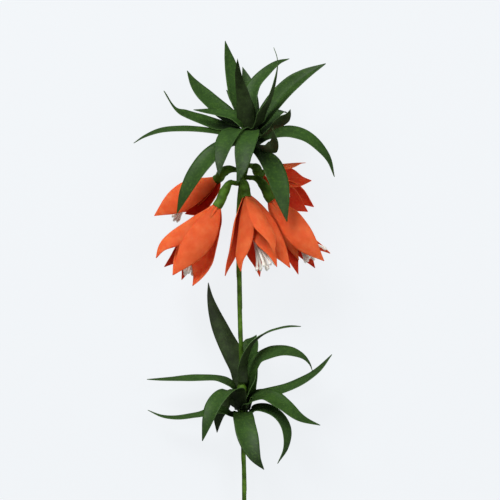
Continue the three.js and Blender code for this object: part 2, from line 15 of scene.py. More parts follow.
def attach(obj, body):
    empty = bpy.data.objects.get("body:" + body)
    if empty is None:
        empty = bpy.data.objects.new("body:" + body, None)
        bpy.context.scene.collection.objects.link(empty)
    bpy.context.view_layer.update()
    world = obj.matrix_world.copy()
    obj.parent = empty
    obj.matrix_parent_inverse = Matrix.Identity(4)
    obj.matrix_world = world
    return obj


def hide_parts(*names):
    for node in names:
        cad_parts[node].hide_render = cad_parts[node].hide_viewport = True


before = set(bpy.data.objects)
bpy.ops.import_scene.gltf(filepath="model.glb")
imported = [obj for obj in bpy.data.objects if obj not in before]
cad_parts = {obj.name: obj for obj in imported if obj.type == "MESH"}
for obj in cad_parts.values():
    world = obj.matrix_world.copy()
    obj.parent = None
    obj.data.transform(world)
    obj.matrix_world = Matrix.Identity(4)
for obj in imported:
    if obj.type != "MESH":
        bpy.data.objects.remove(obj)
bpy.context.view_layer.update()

# %% [markdown]
# ## From the standing flower to the lying one
# A flower is easiest to describe as it grows: x to its right, y up along the stem from the cut end, z towards
# the viewer, in millimetres. The finished one lies on its back on two of its bells and on its cut end. So
# every point is turned by the stem's slope and moved to its place on the surface, and then becomes metres.

# %% Lay points down
SLOPE = radians(7.66)
CUT_END = Vector((4.662, -224.619, 1.734))
CROWN_TOP = (8, 448, 0)
LAY_DOWN = Matrix.Translation(CUT_END) @ Matrix.Rotation(SLOPE, 4, "X")


def lay(point):
    """A point of the standing flower, in millimetres, as a point of the lying one, in metres."""
    return (LAY_DOWN @ Vector(point)) / 1000


def lay_way(direction):
    """A direction of the standing flower as one of the lying flower."""
    return (LAY_DOWN.to_3x3() @ Vector(direction)).normalized()


print("The crown's top lies at", [round(v, 3) for v in lay(CROWN_TOP)])

# %% [markdown]
# ## A smooth line through a few points
# A curled strip of paper bends evenly, with no kinks. A centripetal Catmull-Rom curve does the same: it
# passes through every point that it is given and never loops between them. The line is then cut into equal
# steps.

# %% Draw smooth lines
def smooth_line(points, count, fineness=40):
    """Points at equal steps on the centripetal Catmull-Rom curve through the given ones."""
    p = np.array([list(v) for v in points], float)
    p = np.vstack([2 * p[0] - p[1], p, 2 * p[-1] - p[-2]])
    fine = []
    for i in range(len(p) - 3):
        a, b, c, d = p[i : i + 4]
        t1 = np.linalg.norm(b - a) ** 0.5
        t2 = t1 + np.linalg.norm(c - b) ** 0.5
        t3 = t2 + np.linalg.norm(d - c) ** 0.5
        for t in np.linspace(t1, t2, fineness, endpoint=False):
            ab = a + (b - a) * t / t1
            bc = b + (c - b) * (t - t1) / (t2 - t1)
            cd = c + (d - c) * (t - t2) / (t3 - t2)
            abc = ab + (bc - ab) * t / t2
            bcd = bc + (cd - bc) * (t - t1) / (t3 - t1)
            fine.append(abc + (bcd - abc) * (t - t1) / (t2 - t1))
    fine = np.array(fine + [p[-2]])
    reach = np.concatenate([[0], np.cumsum(np.linalg.norm(np.diff(fine, axis=0), axis=1))])
    at = np.linspace(0, reach[-1], count)
    return np.stack([np.interp(at, reach, fine[:, k]) for k in range(3)], axis=1)


STEM_PATH = [(4, 0, 0), (3.5, 80, 0), (2.9, 114, 0), (1.6, 168, 0), (0.5, 210, 0), (-0.6, 254, 0),
             (-0.6, 308, 0), (1.2, 332, 0), (5.6, 350, 0), (10, 381, 0)]
STEM_POINTS = 382  # one for each millimetre
stem_line = smooth_line(STEM_PATH, STEM_POINTS)


def stem_at(height):
    """The point of the stem's centreline at a height."""
    return Vector([np.interp(height, stem_line[:, 1], stem_line[:, k]) for k in range(3)])


def sideways(degrees):
    """The level direction at an angle round the stem: 0 right, 90 front, 180 left, 270 back."""
    return Vector((cos(radians(degrees)), 0, sin(radians(degrees))))


print("The stem bows sideways by", round(np.ptp(stem_line[:, 0]), 1), "mm")

# %% [markdown]
# ## Colours
# A colour picked from a swatch is an sRGB hex value, while the renderer reckons in linear light. One function
# turns the one into the other.

# %% Turn swatches into light
def linear(swatch):
    """An sRGB hex value as linear red, green, blue and alpha."""
    parts = [int(swatch[i : i + 2], 16) / 255 for i in (1, 3, 5)]
    return tuple(c / 12.92 if c <= 0.04045 else ((c + 0.055) / 1.055) ** 2.4 for c in parts) + (1.0,)


print("Leaf green is", [round(c, 3) for c in linear("#304e1e")])

# %% [markdown]
# ## Nodes
# Materials and shapes are both made by trees of nodes. These functions add a node to a tree, set it up and
# link it. The kinds of node that are needed often have short names here.

# %% Helpers for nodes
def feed(tree, node, links):
    """Gives a node's inputs sockets to link or plain values."""
    for key, value in links.items():
        if isinstance(value, bpy.types.NodeSocket):
            tree.links.new(value, node.inputs[key])
        else:
            node.inputs[key].default_value = value


def add(tree, kind, links=None, **settings):
    """Adds a node, sets it up and feeds its inputs."""
    node = tree.nodes.new(kind)
    row, column = divmod(len(tree.nodes), 12)
    node.location = (180 * column, -220 * row)
    for name, value in settings.items():
        setattr(node, name, value)
    feed(tree, node, links or {})
    return node


def ask(tree, kind, links=None, **settings):
    """Adds a node and gives its first output."""
    return add(tree, kind, links, **settings).outputs[0]


def maths(tree, operation, *values):
    """What a Math node makes of numbers."""
    return ask(tree, "ShaderNodeMath", dict(enumerate(values)), operation=operation)


def vectors(tree, operation, *values):
    """What a Vector Math node makes of vectors."""
    return ask(tree, "ShaderNodeVectorMath", dict(enumerate(values)), operation=operation)


def scaled(tree, vector, size):
    """A vector times a number."""
    return ask(tree, "ShaderNodeVectorMath", {0: vector, "Scale": size}, operation="SCALE")


def noise(tree, place, scale, detail):
    """A cloudy value between 0 and 1 at a place."""
    return ask(tree, "ShaderNodeTexNoise", {"Vector": place, "Scale": scale, "Detail": detail})


def remap(tree, value, low, high, start, end, **settings):
    """Turns low into start, high into end, and what lies between in step."""
    links = {"Value": value, "From Min": low, "From Max": high, "To Min": start, "To Max": end}
    return ask(tree, "ShaderNodeMapRange", links, **settings)


def mixed(tree, share, under, over):
    """One colour with a share of another over it."""
    return add(tree, "ShaderNodeMix", {"Factor": share, 6: under, 7: over}, data_type="RGBA").outputs[2]


def ramp(tree, value, places, swatches):
    """A colour for a value, blended between swatches at places from 0 to 1."""
    node = add(tree, "ShaderNodeValToRGB", {"Fac": value})
    elements = node.color_ramp.elements
    stops = list(zip(places, map(linear, swatches)))
    elements[0].position, elements[0].color = stops[0]
    elements[1].position, elements[1].color = stops[-1]
    for where, colour in stops[1:-1]:
        elements.new(where).color = colour
    return node.outputs["Color"]


def painted(tree, name):
    """What a piece has stored under a name."""
    return add(tree, "ShaderNodeAttribute", attribute_name=name).outputs["Fac"]


def new_material(name):
    """A material, its tree and its shader."""
    material = bpy.data.materials.new(name)
    material.use_nodes = True
    return material, material.node_tree, material.node_tree.nodes["Principled BSDF"]


print("Helpers: add, ask, maths, vectors, scaled, noise, remap, mixed, ramp, painted")

# %% [markdown]
# ## Coloured card
# The leaves and petals are dyed card with hardly any gloss. Close up, its pulp shows as cloudy patches a few
# millimetres wide, as paler flecks and as a fine tooth. An image could show that, but noise that is reckoned
# from the place on the piece needs no file and fits any size. So three noises are used: one for clouds, one
# for flecks and one for the tooth, which roughens the surface. A blade's hollow face gets painted shade
# towards its glued root, and on some towards its tip, so that the heart of the flower looks shadowy; its back
# takes less of that painted shade and shows fewer flecks. On the petals the painted shade is a deep red.
# Petals let some light through, so the inside of a bell glows red, and subsurface scattering does that. The
# blade tree further on stores which face is the back, how much painted shade there is and where the cut
# edge is, in attributes named reverse and cut and one for the painted shade.

# %% Make coloured card
CLOUD_MM = 7.0
FLECK_MM = 2.0  # coarser than real flecks, so that they show
TOOTH_MM = 0.7
TOOTH_DEPTH_MM = 0.2
CLOUD_STOPS = (0.3, 0.5, 0.72)
FLECK_FROM, FLECK_TO = 0.5, 0.72
BACK_SHADE_SHARE = 0.35  # the share of the painted shade that the back takes
BACK_LACKS = 0.6  # the share of the flecks that the back lacks
LIGHT_THROUGH = {"Subsurface Weight": 0.55, "Subsurface Radius": (1.0, 0.25, 0.08),
                 "Subsurface Scale": 0.0015}


def card(name, face, behind, fleck_colour, flecks, shade_swatch, core, roughness, shine, tooth, through=()):
    """Dyed paper: cloudy, flecked faces, painted shade at root and tip, and a paler core at cut edges."""
    material, tree, shader = new_material(name)
    place = add(tree, "ShaderNodeTexCoord").outputs["Object"]
    cloud = noise(tree, place, 1000 / CLOUD_MM, 4.0)
    fleck = noise(tree, place, 1000 / FLECK_MM, 3.0)
    fibre = noise(tree, place, 1000 / TOOTH_MM, 2.0)
    painted_shade, back, cut = (painted(tree, mark) for mark in ("painted_shade", "reverse", "cut"))
    back_shade = maths(tree, "MULTIPLY", painted_shade, BACK_SHADE_SHARE)
    sides = [mixed(tree, shade_share, ramp(tree, cloud, CLOUD_STOPS, swatches), linear(shade_swatch))
             for shade_share, swatches in ((painted_shade, face), (back_shade, behind))]
    share = remap(tree, fleck, FLECK_FROM, FLECK_TO, 0.0, flecks)
    left = maths(tree, "MULTIPLY_ADD", back, -BACK_LACKS, 1.0)
    flecked = mixed(tree, maths(tree, "MULTIPLY", share, left), mixed(tree, back, *sides),
                    linear(fleck_colour))
    grain = ask(tree, "ShaderNodeBump",
                {"Height": fibre, "Strength": tooth, "Distance": TOOTH_DEPTH_MM / 1000})
    feed(tree, shader, {"Base Color": mixed(tree, cut, flecked, linear(core)), "Roughness": roughness,
                        "Specular IOR Level": shine, "Normal": grain, **dict(through)})
    return material


# In each card, the swatch after the flecks' share is painted shade: near-black on the leaves, deep red on the
# petals, and the plain colour on the ivory paper.
leaf_card = card("dyed card, dark green",
                 ("#2b4719", "#304e1e", "#37571f"), ("#232f17", "#2c3a1e", "#374827"),
                 "#55782a", 0.3, "#0b1406", "#4c6a36", 0.5, 0.2, 0.45)
# The petals' hollow-face swatches are a little redder than their backs': a painted red glow of light bounced
# inside the bells.
petal_card = card("dyed card, coral orange",
                  ("#e05426", "#ea6434", "#f07444"), ("#e2602d", "#ea6b37", "#f07943"),
                  "#f28450", 0.12, "#b02208", "#e06c3c", 0.78, 0.2, 0.4, LIGHT_THROUGH)
IVORY = ("#f0ede0", "#f8f6ec", "#fcfbf4")
ivory_paper = card("ivory paper", IVORY, IVORY, "#e4dfcc", 0.3, "#f8f6ec", "#f8f6ec", 0.8, 0.25, 0.4)
print("Card:", leaf_card.name, "/", petal_card.name, "/", ivory_paper.name)

# %% [markdown]
# ## Florist's tape
# Florist's tape is crepe paper soaked in wax. It is stretched as it is wound, so its crinkles run along the
# tape, and each turn overlaps the last with a slanted edge. The wax gives it a dull shine. The winding tree
# further on stores how far across the tape a point is, under the name lap, and the doubled part near each
# edge is darker.

# %% Make tape
CRINKLE_MM = 1.4
CRINKLE_DEPTH_MM = 0.4
CRINKLE_WAY = {"Scale": (1, 0.35, 1), "Rotation": (0, 0, radians(25))}
BLOTCH_MM = 6.0
BLOTCH_STOPS = (0.35, 0.52, 0.7)
DOUBLED_SHARE = 0.12
DOUBLED_SHADE = 0.55


def wound_tape(name, shade, plain, worn):
    """Waxed crepe tape, darker where a turn overlaps the one before."""
    material, tree, shader = new_material(name)
    place = add(tree, "ShaderNodeTexCoord").outputs["Object"]
    stretched = ask(tree, "ShaderNodeMapping", {"Vector": place, **CRINKLE_WAY})
    crinkle = noise(tree, stretched, 1000 / CRINKLE_MM, 4.0)
    tone = ramp(tree, noise(tree, place, 1000 / BLOTCH_MM, 3.0), BLOTCH_STOPS, (shade, plain, worn))
    doubled = remap(tree, painted(tree, "lap"), 0.0, DOUBLED_SHARE, DOUBLED_SHADE, 0.0)
    rough = ask(tree, "ShaderNodeBump",
                {"Height": crinkle, "Strength": 0.6, "Distance": CRINKLE_DEPTH_MM / 1000})
    feed(tree, shader, {"Base Color": mixed(tree, doubled, tone, linear(shade)), "Roughness": 0.6,
                        "Specular IOR Level": 0.2, "Normal": rough})
    return material


green_tape = wound_tape("waxed crepe tape, moss green", "#324a0a", "#436512", "#557a20")
print("Tape:", green_tape.name)

# %% [markdown]
# ## Trees that make shapes
# A Geometry Nodes tree turns a line into a piece. Its sizes are inputs with names, so one tree makes many
# pieces. Each takes a line, a material and its sizes, and ends by making its faces real and giving them the
# material. What one part of a tree stores under a name, another part or the material can read.

# %% Helpers for shapes
SOCKETS = {float: "NodeSocketFloat", int: "NodeSocketInt", tuple: "NodeSocketVector"}


def new_tree(name, sizes):
    """A tree with a named input for each size, the sockets of its inputs, and its own maths."""
    tree = bpy.data.node_groups.new(name, "GeometryNodeTree")
    tree.interface.new_socket("Geometry", in_out="OUTPUT", socket_type="NodeSocketGeometry")
    tree.interface.new_socket("Geometry", in_out="INPUT", socket_type="NodeSocketGeometry")
    tree.interface.new_socket("Material", in_out="INPUT", socket_type="NodeSocketMaterial")
    for size, usual in sizes.items():
        socket = tree.interface.new_socket(size, in_out="INPUT", socket_type=SOCKETS[type(usual)])
        socket.default_value = usual
    return tree, add(tree, "NodeGroupInput").outputs, partial(maths, tree)


def store(tree, geometry, name, value, kind="FLOAT", domain="POINT"):
    """Stores a value under a name on each point, face or corner."""
    return ask(tree, "GeometryNodeStoreNamedAttribute", {"Geometry": geometry, "Name": name, "Value": value},
               data_type=kind, domain=domain)


def read(tree, name, kind="FLOAT"):
    """Reads what is stored under a name."""
    return ask(tree, "GeometryNodeInputNamedAttribute", {"Name": name}, data_type=kind)


def join(tree, *parts):
    """Several geometries as one."""
    node = add(tree, "GeometryNodeJoinGeometry")
    for part in parts:
        tree.links.new(part, node.inputs[0])
    return node.outputs[0]


def end_tree(tree, given, geometry, smooth=True):
    """Makes the faces real, smooth where asked, and gives them the material."""
    real = ask(tree, "GeometryNodeRealizeInstances", {"Geometry": geometry})
    shaded = ask(tree, "GeometryNodeSetShadeSmooth", {"Geometry": real, "Shade Smooth": smooth})
    done = ask(tree, "GeometryNodeSetMaterial", {"Geometry": shaded, "Material": given["Material"]})
    add(tree, "NodeGroupOutput", {"Geometry": done})


print("Inputs come in", len(SOCKETS), "kinds")

# %% [markdown]
# ## A blade of paper
# Every leaf and every petal is one flat cut-out, curled twice: along its midrib and across its width. A grid
# does that well. Its length follows the midrib, and its breadth is bent round it by an outline that says how
# wide the cut-out is at each place. One rule makes all 61 blades, in one tree for leaves and one for petals,
# which differ in their outline. The midrib comes in as a line of points. Each point carries the way that the
# hollow face looks, which is how a blade is twisted, and how much broader the cut-out is there than the usual
# outline. Two more sizes say how far painted shade reaches from the root, and how dark it is at the tip.

# %% Build the blade tree
# How dark the painted shade is at a blade's root.
ROOT_SHADE = 0.95
RIPPLES_PER_M = 45.0
TOUCHING = 1e-6


def blade_tree(name, outline):
    """A tree that turns a midrib into a curled paper blade. outline gives (place along, share of width)."""
    tree, given, calc = new_tree(name, {
        "Width": 0.016, "Roll": 0.5, "Crease": 0.0, "Cockle": 0.0, "ShadeReach": 0.25,
        "TipShade": 0.0, "Thickness": 0.0005, "Steps": 40, "Rows": 11})
    turn = partial(vectors, tree)
    midrib = ask(tree, "GeometryNodeMeshToCurve", {"Mesh": given["Geometry"]})
    sizes = {"Size X": 1.0, "Size Y": 2.0, "Vertices X": given["Steps"], "Vertices Y": given["Rows"]}
    grid = add(tree, "GeometryNodeMeshGrid", sizes).outputs
    flat = add(tree, "ShaderNodeSeparateXYZ", {0: ask(tree, "GeometryNodeInputPosition")}).outputs
    along, across = calc("ADD", flat["X"], 0.5), flat["Y"]
    # Painted shade: darker towards the root, and on some blades towards the tip.
    root_shade = remap(tree, along, 0.0, given["ShadeReach"], ROOT_SHADE, 0.0, interpolation_type="SMOOTHSTEP")
    tip_shade = remap(tree, along, 0.5, 1.0, 0.0, given["TipShade"], interpolation_type="SMOOTHSTEP")
    mapped = store(tree, grid["Mesh"], "UVMap", grid["UV Map"], "FLOAT2", "CORNER")
    shade_stored = store(tree, mapped, "painted_shade", calc("MAXIMUM", root_shade, tip_shade))

    def on_rib(name, kind="FLOAT"):
        return add(tree, "GeometryNodeSampleCurve", {"Curves": midrib, "Value": read(tree, name, kind),
                   "Factor": along}, data_type=kind, use_all_curves=True).outputs

    rib = on_rib("facing", "FLOAT_VECTOR")
    side = turn("NORMALIZE", turn("CROSS_PRODUCT", rib["Tangent"], rib["Value"]))
    up = turn("NORMALIZE", turn("CROSS_PRODUCT", side, rib["Tangent"]))

    shape = add(tree, "ShaderNodeFloatCurve", {"Value": along})
    points = shape.mapping.curves[0].points
    points[0].location, points[1].location = outline[0], outline[-1]
    for where, share in outline[1:-1]:
        points.new(where, share)
    shape.mapping.update()
    share = calc("MULTIPLY", shape.outputs[0], on_rib("breadth")["Value"])

    half = calc("MULTIPLY", given["Width"], 0.5)
    bend = calc("MULTIPLY", calc("MULTIPLY", across, share), given["Roll"])
    radius = calc("DIVIDE", half, given["Roll"])
    out = calc("MULTIPLY", radius, calc("SINE", bend))
    lift = calc("MULTIPLY", radius, calc("SUBTRACT", 1.0, calc("COSINE", bend)))
    spread = calc("MULTIPLY", calc("ABSOLUTE", across), calc("MULTIPLY", share, half))
    fold = calc("MULTIPLY", given["Crease"], spread)
    ripple = noise(tree, rib["Position"], RIPPLES_PER_M, 0.0)
    uneven = calc("MULTIPLY", calc("SUBTRACT", ripple, 0.5), given["Cockle"])
    cockle = calc("MULTIPLY", uneven, calc("MULTIPLY", spread, across))
    height = calc("ADD", calc("ADD", lift, fold),
                  calc("ADD", cockle, calc("MULTIPLY", given["Thickness"], 0.5)))
    here = turn("ADD", rib["Position"], turn("ADD", scaled(tree, side, out), scaled(tree, up, height)))
    bent = ask(tree, "GeometryNodeSetPosition", {"Geometry": shade_stored, "Position": here})

    under = add(tree, "GeometryNodeExtrudeMesh",
                {"Mesh": bent, "Offset Scale": given["Thickness"], "Individual": False}, mode="FACES").outputs
    top = ask(tree, "GeometryNodeFlipFaces", {"Mesh": bent})
    faces = [store(tree, store(tree, face, "cut", cut, domain="FACE"), "reverse", reverse, domain="FACE")
             for face, cut, reverse in ((under["Mesh"], under["Side"], 1.0), (top, 0.0, 0.0))]
    closed = ask(tree, "GeometryNodeMergeByDistance", {"Geometry": join(tree, *faces), "Distance": TOUCHING})
    end_tree(tree, given, closed, calc("LESS_THAN", read(tree, "cut"), 0.5))
    return tree


LEAF_OUTLINE = [(0, 0.5), (0.1, 0.62), (0.2, 0.8), (0.32, 0.95), (0.44, 1), (0.6, 0.92), (0.76, 0.66),
                (0.9, 0.3), (1, 0.02)]
PETAL_OUTLINE = [(0, 0.25), (0.12, 0.5), (0.24, 0.75), (0.37, 0.94), (0.5, 1), (0.62, 0.92), (0.75, 0.68),
                 (0.87, 0.35), (1, 0.02)]
leaf_tree = blade_tree("curled leaf", LEAF_OUTLINE)
petal_tree = blade_tree("curled petal", PETAL_OUTLINE)
print("A blade takes", len(leaf_tree.nodes), "nodes")

# %% [markdown]
# ## Running a tree
# A tree works on an object through a modifier. The export wants plain meshes, so each result is copied out of
# the modifier and the modifier's own object is thrown away.

# %% Run a tree on a line of points
def put(name, data):
    """A new object in the scene, at the origin."""
    made = bpy.data.objects.new(name, data)
    bpy.context.scene.collection.objects.link(made)
    return made


def run_tree(tree, points, attributes, **sizes):
    """The plain mesh that a tree makes from a line of points, with an attribute for each point."""
    mesh = bpy.data.meshes.new("line")
    mesh.from_pydata([tuple(lay(p)) for p in points], [(i, i + 1) for i in range(len(points) - 1)], [])
    for name, values in attributes.items():
        kind, key = ("FLOAT_VECTOR", "vector") if np.ndim(values) == 2 else ("FLOAT", "value")
        stored = mesh.attributes.new(name, kind, "POINT")
        stored.data.foreach_set(key, np.asarray(values, np.float32).ravel())
    line = put("line", mesh)
    modifier = line.modifiers.new("shape", "NODES")
    modifier.node_group = tree
    for item in tree.interface.items_tree:
        if item.in_out == "INPUT" and item.name in sizes:
            modifier[item.identifier] = sizes[item.name]
    made = bpy.data.meshes.new_from_object(line.evaluated_get(bpy.context.evaluated_depsgraph_get()))
    bpy.data.objects.remove(line)
    bpy.data.meshes.remove(mesh)
    return made


def place_piece(name, meshes, nodes):
    """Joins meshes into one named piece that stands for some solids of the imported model."""
    joined = meshes[0]
    if len(meshes) > 1:
        parts = [put(name, mesh) for mesh in meshes]
        with bpy.context.temp_override(active_object=parts[0], selected_editable_objects=parts):
            bpy.ops.object.join()
        joined = parts[0].data
        bpy.data.objects.remove(parts[0])
    joined.name = name
    piece = put(name, joined)
    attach(piece, "root")
    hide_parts(*nodes)


# %% [markdown]
# ## The leaves
# A leaf is bound to the stem at its root, rises a little along it, and then goes its own way. Each entry
# below says how high up it is bound, on which side of the stem, how wide it is, the way its upper face looks
# near its root and at its tip (None if it is the same), and the points that its midrib passes through. Some
# entries end with sizes of their own, in place of the plain leaf's. The flower has 19 leaves in its crown.

# %% Cut the leaves
ROOT_OUT = 3
KNEE_OUT, KNEE_UP = 4, 4
TURNED = 0.2  # how far along a leaf has turned to face its entry's way
LEAF_POINTS = 48
# A plain leaf gets painted shade near its root and a little at its tip; some entries below change how far it
# reaches and how dark it is.
PLAIN_LEAF = {"Roll": 0.4, "Cockle": 0.2, "ShadeReach": 0.5, "TipShade": 0.35, "Steps": 44, "breadth": [(0, 1)]}


def leaf_mesh(height, side, width, near, far, rib, special=()):
    """One curled leaf. breadth widens or narrows the usual outline at places along it."""
    sizes = {**PLAIN_LEAF, **dict(special)}
    near, far = Vector(near), Vector(far or near)
    out = sideways(side)
    root = stem_at(height) + out * ROOT_OUT
    knee = stem_at(height) + out * KNEE_OUT + Vector((0, KNEE_UP, 0))
    places = np.linspace(0, 1, LEAF_POINTS)
    ways = []
    for u in places:
        if u < TURNED:
            way = (-out).lerp(near, u / TURNED)
        else:
            way = near.lerp(far, (u - TURNED) / (1 - TURNED))
        ways.append(tuple(lay_way(way)))
    breadth = np.interp(places, *zip(*sizes.pop("breadth")))
    return run_tree(leaf_tree, smooth_line([root, knee, *rib], LEAF_POINTS),
                    {"facing": ways, "breadth": breadth}, Width=width / 1000, Material=leaf_card, **sizes)


def cut_leaves(where, leaves):
    """Cuts the leaves of a list and puts each in the place of its solid."""
    for number, leaf in enumerate(leaves, 1):
        node = f"{where}_leaf_{number:02d}"
        place_piece("curled_" + node, [leaf_mesh(*leaf)], [node])
    print(len(leaves), "leaves in the", where)


LOW, NEXT, HIGH, TOP = 358, 364, 369, 373
CROWN_LEAVES = [
    (LOW, -8, 16, (0.1, 0.8, 0.5), (0.8, 0.3, 0.5), [(21, 370, 3), (31, 373, 5.5), (40, 373.6, 7),
     (52.5, 370, 8), (63.5, 361.5, 8), (71, 352, 6.5), (75.5, 338.5, 5)]),
    (LOW, 45, 18.5, (0.3, 0.7, 0.6), (0.2, 0.1, 1), [(16.5, 357.5, 11), (24, 349, 21.5), (30, 335.5, 29.5),
     (34, 320, 32.5), (37.5, 302.5, 32)], {"ShadeReach": 0.75}),
    (LOW, 95, 18, (0, 1, 0.2), (-0.1, -0.1, 1), [(8.5, 375.2, 17), (5.4, 368, 32), (2.9, 356, 40.5),
     (1, 344, 45.5), (-2.6, 332.4, 47.5)], {"breadth": [(0, 1), (0.2, 0.75), (0.3, 0.8), (0.42, 1)],
     "TipShade": 0.6}),
    (NEXT, 128, 18, (-0.2, 1, 0.2), (-0.3, -0.05, 0.9), [(1.4, 376.3, 9.5), (-4.6, 374.8, 20),
     (-9.6, 369.4, 31), (-13.6, 360.5, 38.5), (-15.8, 351, 43), (-17, 339, 45.5)], {"TipShade": 0.6}),
    (LOW, 168, 18.5, (-0.2, 0.9, 0.5), (-0.4, 0.3, 0.85), [(-2, 366, 7.5), (-13, 363, 11), (-23, 355, 12.5),
     (-34.5, 341.5, 13), (-44, 325.5, 11), (-50.5, 309, 8)]),
    (NEXT, 180, 15, (0, 0.95, 0.3), (-0.3, 0.85, 0.35), [(-9.5, 372, 1.5), (-29, 375, 3), (-46.5, 376, 4),
     (-64, 375, 4), (-77, 370.5, 2.5), (-85, 365.5, 0)]),
    (NEXT, 44, 11.5, (0.75, 0.6, -0.25), (0.2, 0.1, -0.97), [(14.4, 361.8, 14), (21.2, 360.6, 30),
     (26.2, 362.4, 44), (27.4, 366.8, 52), (26.6, 372, 56), (26, 376.8, 58)], {"breadth": [(0, 1),
     (0.2, 0.75), (0.5, 0.6), (0.65, 1.1)]}),
    (HIGH, 31, 12, (-0.5, 0.6, -0.65), (0, 0.4, -0.9), [(18, 370.8, 9.6), (24.8, 376, 20), (30.4, 380, 29),
     (35.2, 384, 35), (38.6, 387.6, 39), (40.2, 392, 42)], {"breadth": [(0, 0.5), (0.5, 0.4), (0.66, 0.9),
     (0.82, 1.4), (1, 1.2)]}),
    (NEXT, -45, 18, (-0.3, 0.7, 0.65), (-0.3, 0.55, 0.78), [(20, 380.5, -10), (27, 389, -20),
     (33, 391.2, -30), (39, 389.6, -39)]),
    (HIGH, 160, 13, (0.1, 0.85, 0.5), None, [(1.5, 381.5, 5.5), (-4.8, 386.5, 5), (-14.4, 389, 4),
     (-25.6, 390.8, 3), (-37.2, 392.2, 1)], {"breadth": [(0, 1.7), (0.3, 1.35), (0.5, 1)]}),
    (NEXT, 212, 16, (0.1, 0.85, 0.5), (0.6, 0.6, 0.5), [(-6.5, 377, -5.5), (-17.5, 379, -8),
     (-30.5, 383.5, -9.5), (-43, 388.5, -10.5), (-51.5, 393, -10.5), (-61, 407.5, -8)], {"breadth": [(0, 1),
     (0.55, 1), (0.72, 0.8), (0.8, 0.35), (0.9, 0.3), (1, 1)]}),
    (HIGH, 262, 13, (0, 0.5, 0.8), None, [(7.5, 385, -14), (1.5, 395, -26), (-6, 402.5, -35),
     (-11, 408.5, -41)]),
    (HIGH, -2, 17, (-0.45, 0.55, 1), None, [(19.6, 385, 1.5), (30.4, 399.2, 3.5), (41.5, 411, 5.5),
     (54.5, 421, 7.5), (68.5, 429, 8)], {"Crease": 0.25}),
    (TOP, 48, 11, (-0.8, 0.3, -0.5), (-1, 0.1, 0), [(16, 381, 9), (19.6, 390.4, 13), (23.4, 397.6, 17),
     (26.4, 406.4, 21.5), (28.6, 416, 26.5), (30, 427, 31), (29.6, 433.6, 33), (26.9, 441.4, 35)],
     {"breadth": [(0, 1.6), (0.25, 1.5), (0.45, 1), (0.7, 0.8), (0.85, 0.4), (1, 0.5)]}),
    (TOP, 192, 16.5, (0.4, 0.45, 0.8), None, [(-2.5, 382, -4), (-13, 389.5, -9), (-21, 396.5, -14),
     (-30.2, 405.5, -21), (-37.5, 415, -29), (-42.5, 424, -35)]),
    (TOP, 240, 15.5, (0.45, 0.2, 0.85), None, [(2.5, 388, -7), (-3, 404, -15), (-7, 425.5, -27),
     (-12, 448, -40)]),
    (TOP, 278, 14, (0, 0.3, 0.9), None, [(9, 389, -14), (7, 406, -26), (4.5, 419, -35), (2, 427, -41)]),
    (TOP, 318, 13.5, (-0.45, 0.55, 0.7), None, [(9.5, 390.4, -5), (8.5, 400, -7.4), (11.5, 411.2, -11),
     (20, 421.5, -14.5), (30.5, 430.3, -19), (39.5, 433.4, -24)]),
    (TOP, 95, 13, (0, 0.6, -0.8), None, [(5.6, 382, 6), (4.6, 391, 9), (2.4, 403, 14), (-1, 417.6, 24),
     (-2, 432.4, 41)], {"breadth": [(0, 1.7), (0.2, 1.5), (0.42, 0.85), (0.68, 0.55), (1, 0.6)]}),
]
cut_leaves("crown", CROWN_LEAVES)

# %% [markdown]
# ## The whorl below
# Twelve more leaves stand round the stem below the bells, bound there with a few extra turns of tape. Some
# stand up, some lie out flat and some hang over. They could be one leaf turned round the stem twelve times,
# but that looks like a wheel, so each has its own entry, as in the crown.

